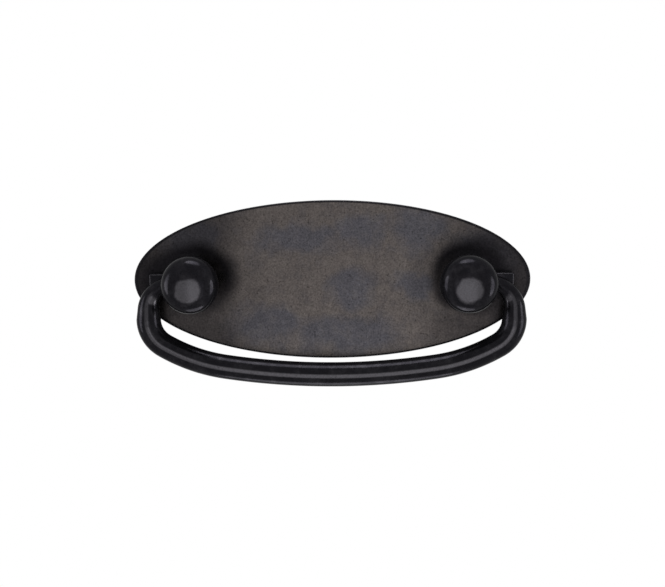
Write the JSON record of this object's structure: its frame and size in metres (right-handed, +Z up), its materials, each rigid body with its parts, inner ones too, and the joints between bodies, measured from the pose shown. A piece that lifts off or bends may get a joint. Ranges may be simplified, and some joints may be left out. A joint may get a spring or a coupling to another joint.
{
  "type": "drop pull",
  "caption": "Drop pull for a drawer: an oval backplate carries bun-headed posts, and a bowed bail hangs between them and swings up for the fingers.",
  "frame": {"origin": "middle of the backplate's back face, half way between the fixing holes and level with them", "axes": "+X along the backplate's length, +Z up, +Y into the drawer front; the posts and the bail stand out towards -Y"},
  "size_m": [0.112, 0.0188, 0.0517],
  "materials": {
    "plate_patina": "mottled bronze patina on sheet brass, satin",
    "dark_bronze": "near-black bronzed brass, satin"
  },
  "bodies": {
    "base": {"backplate": "plate_patina", "left_post": "dark_bronze", "right_post": "dark_bronze"},
    "bail": {"bail": "dark_bronze"}
  },
  "joints": [
    {"name": "bail_swing", "type": "hinge", "parent": "base", "child": "bail", "pos_m": [0, -0.0075, 0], "axis": [-1, 0, 0], "range_deg": [-5, 185]}
  ]
}
